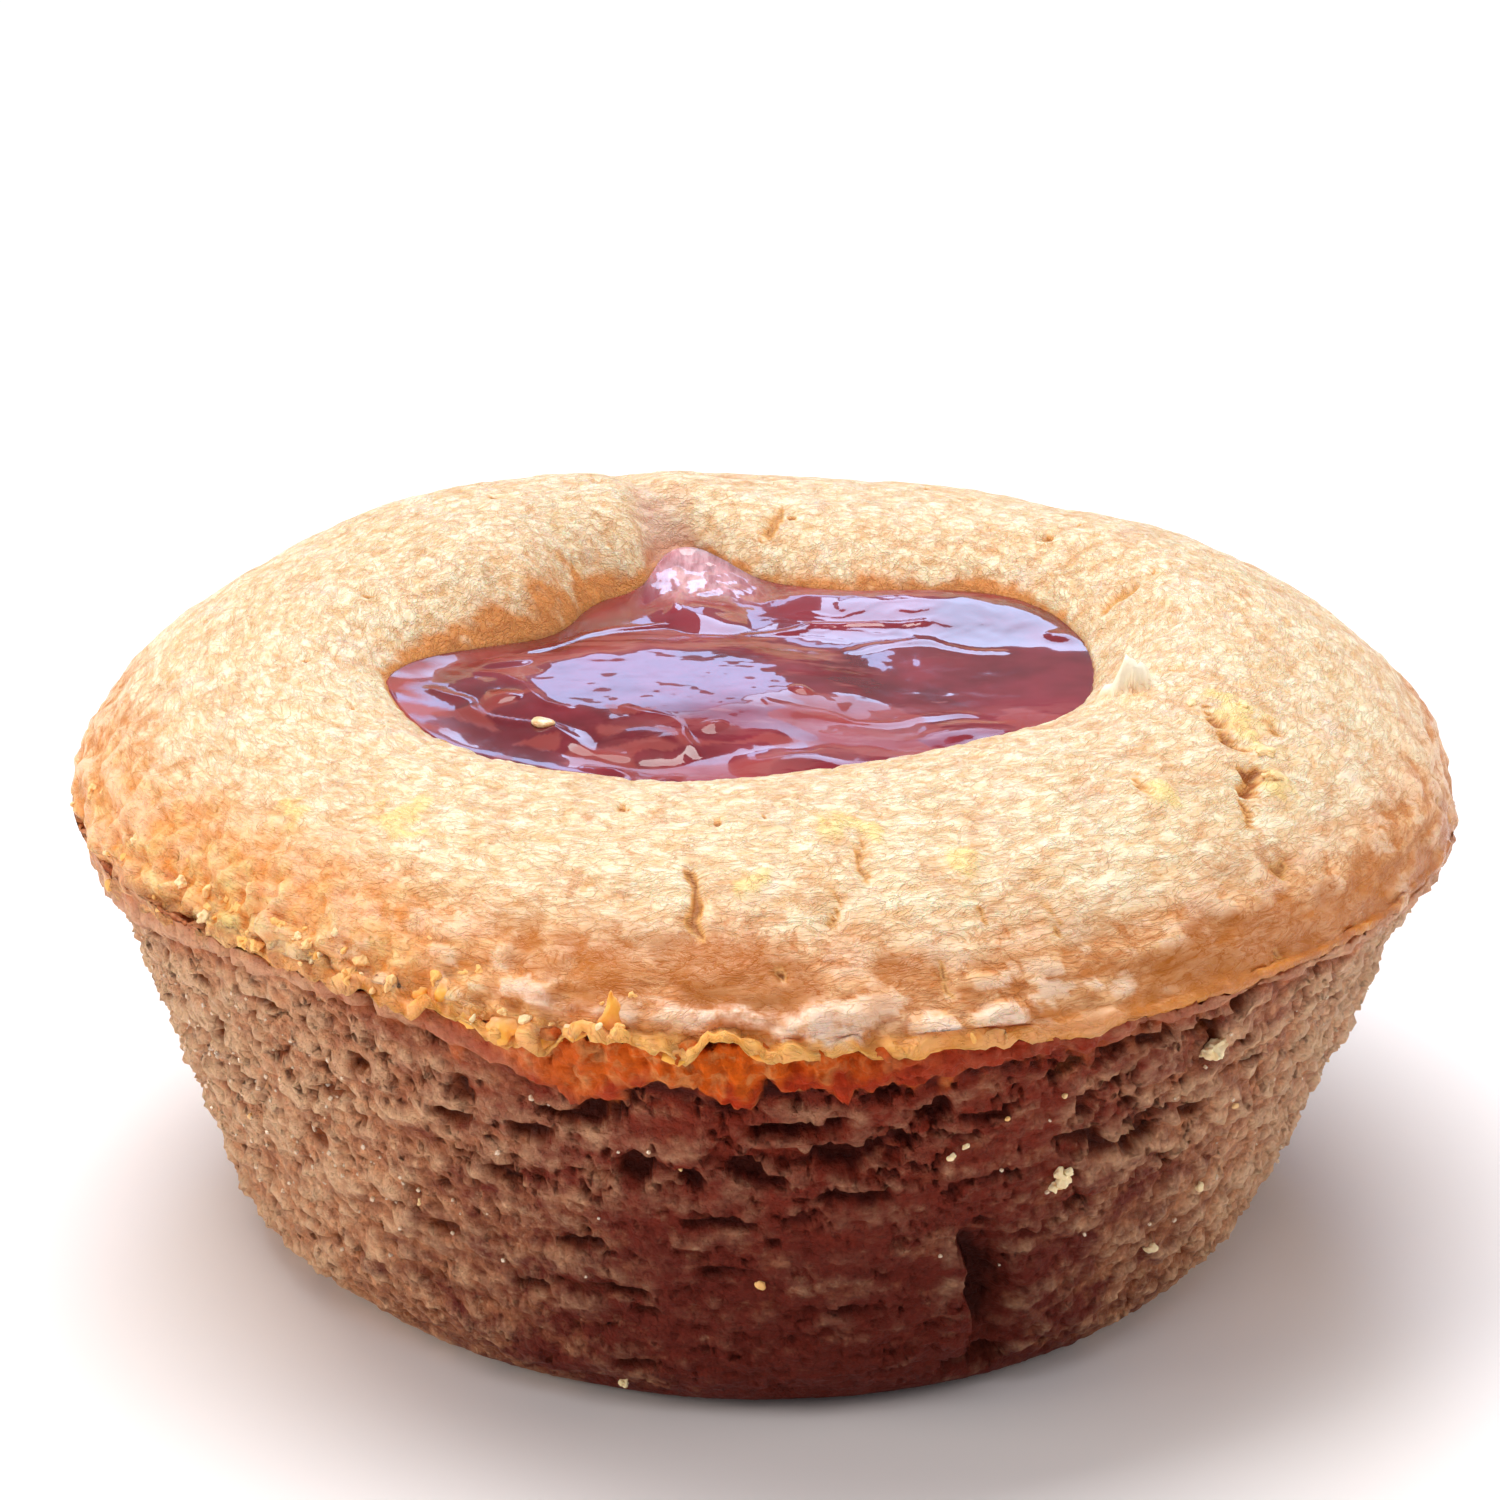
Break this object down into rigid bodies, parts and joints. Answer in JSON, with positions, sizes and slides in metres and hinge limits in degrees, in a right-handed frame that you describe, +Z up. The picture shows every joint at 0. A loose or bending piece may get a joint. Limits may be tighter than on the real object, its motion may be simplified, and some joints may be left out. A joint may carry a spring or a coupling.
{
  "type": "thumbprint cookie",
  "caption": "Round thumbprint cookie baked in a tapered muffin cup, with a puffed ring on top and a pressed well filled with red jam.",
  "frame": {"origin": "middle of the flat underside, where the cookie rests", "axes": "+Z up out of the jam, along the baking cup's axis; -Y towards the side of the ring with the most cracks"},
  "size_m": [0.0664, 0.065, 0.0308],
  "materials": {
    "baked_dough": "golden baked short dough, finely crinkled and faintly greasy on top, crumbly brown on the wall",
    "fruit_jam": "glossy set fruit jam with lumps and seeds"
  },
  "bodies": {
    "root": {"cookie": "baked_dough", "jam": "fruit_jam"}
  },
  "joints": []
}
